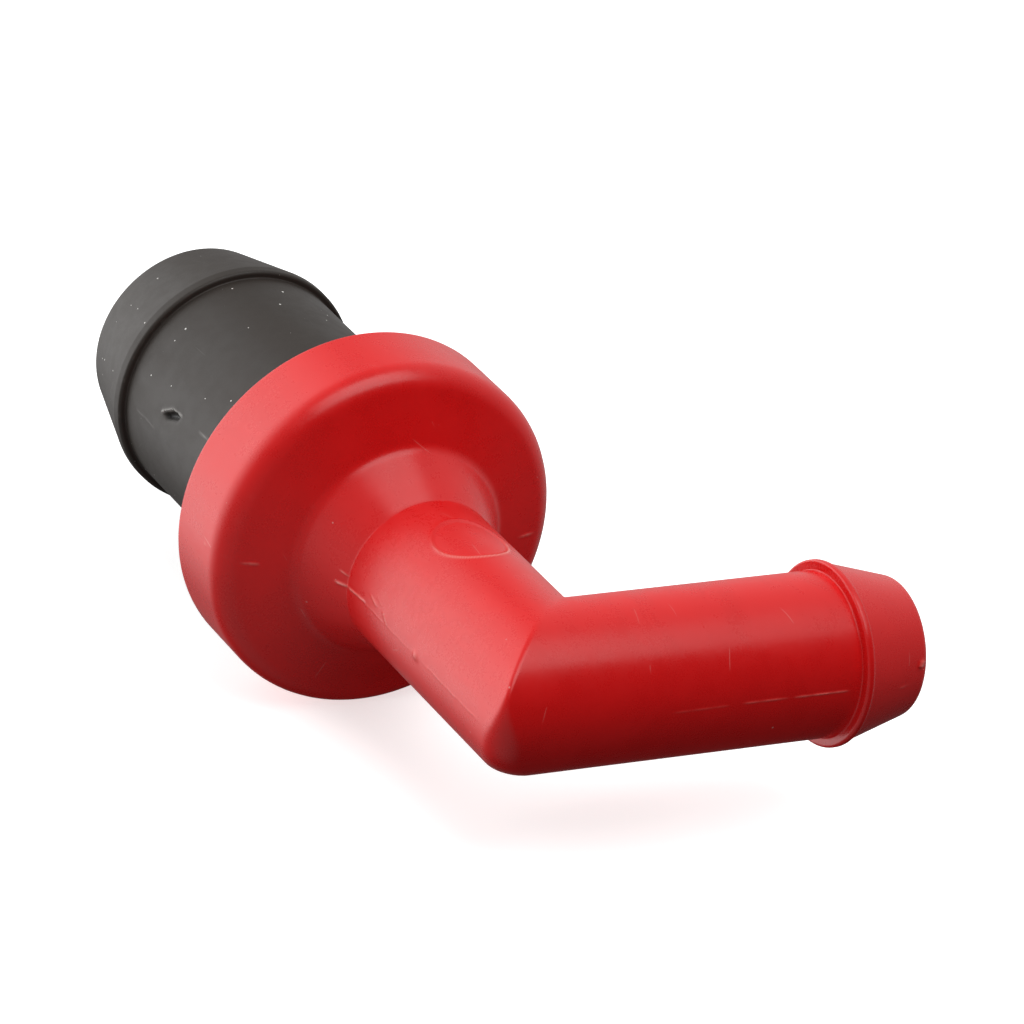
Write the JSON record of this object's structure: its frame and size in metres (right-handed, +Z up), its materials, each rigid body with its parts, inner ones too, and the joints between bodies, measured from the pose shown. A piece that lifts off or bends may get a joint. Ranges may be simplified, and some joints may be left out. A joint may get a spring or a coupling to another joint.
{
  "type": "in-line vent and check valve",
  "caption": "Plastic in-line vent and check valve: black straight hose tail, red drum chamber and elbowed red hose tail, with a spring-loaded sealing disc inside.",
  "frame": {"origin": "centre of the inlet mouth, on the valve axis", "axes": "+Y out of the inlet tail along the valve axis, +X out of the outlet tail, +Z up from the plane of the two tails"},
  "size_m": [0.0458, 0.0675, 0.029],
  "materials": {
    "red_plastic": "satin moulded, soft highlights",
    "black_plastic": "matte moulded, dark grey-brown",
    "seal_rubber": "smooth matte",
    "natural_plastic": "natural moulded acetal",
    "spring_steel": "bright stainless"
  },
  "bodies": {
    "housing": {"outlet_elbow": "red_plastic", "inlet_tail": "black_plastic", "housing_o_ring": "seal_rubber", "front_guide": "natural_plastic", "valve_seat": "natural_plastic", "spring_carrier": "natural_plastic", "return_spring": "spring_steel"},
    "valve": {"valve_disc": "natural_plastic", "seal_washer": "seal_rubber", "clamp_washer": "spring_steel", "stem_clip": "spring_steel"}
  },
  "joints": [
    {"name": "valve_lift", "type": "slide", "parent": "housing", "child": "valve", "axis": [0, -1, 0], "range_m": [0, 0.0025], "stiffness_N_per_m": 180, "springref_m": -0.0025, "deforming": ["return_spring"]}
  ]
}
